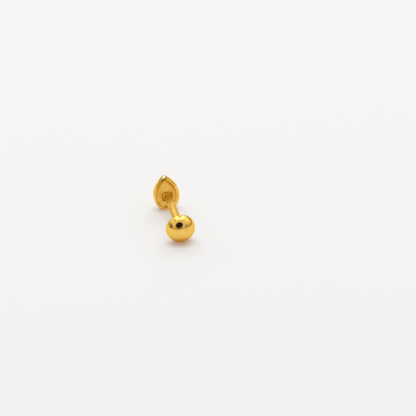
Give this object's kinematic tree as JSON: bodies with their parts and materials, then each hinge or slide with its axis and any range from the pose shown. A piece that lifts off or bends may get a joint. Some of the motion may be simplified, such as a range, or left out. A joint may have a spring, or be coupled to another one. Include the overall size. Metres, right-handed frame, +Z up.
{
  "type": "stud earring",
  "caption": "Gold stud earring: a pear-shaped head with a rolled rim and a fluted inlay in its back, a round post, and a domed screw back that turns on the post.",
  "frame": {"origin": "centre of the base of the bounding box, on the surface that the stud rests on", "axes": "+Y along the post from the screw dome to the head, +Z up through the tip of the head, +X to the right as seen from the dome"},
  "size_m": [0.004, 0.0108, 0.0052],
  "materials": {
    "polished_gold": "mirror-polished yellow gold of high carat, with fine wear",
    "fluted_gold": "struck and lightly scratched yellow gold, half bright"
  },
  "bodies": {
    "stud": {"pear_head": "polished_gold", "back_plate": "fluted_gold"},
    "screw_back": {"screw_dome": "polished_gold"}
  },
  "joints": [
    {"name": "screw_back_turn", "type": "hinge", "parent": "stud", "child": "screw_back", "pos_m": [0, -0.00356, 0.00196], "axis": [0, -1, 0], "range_deg": [0, 1728]}
  ]
}
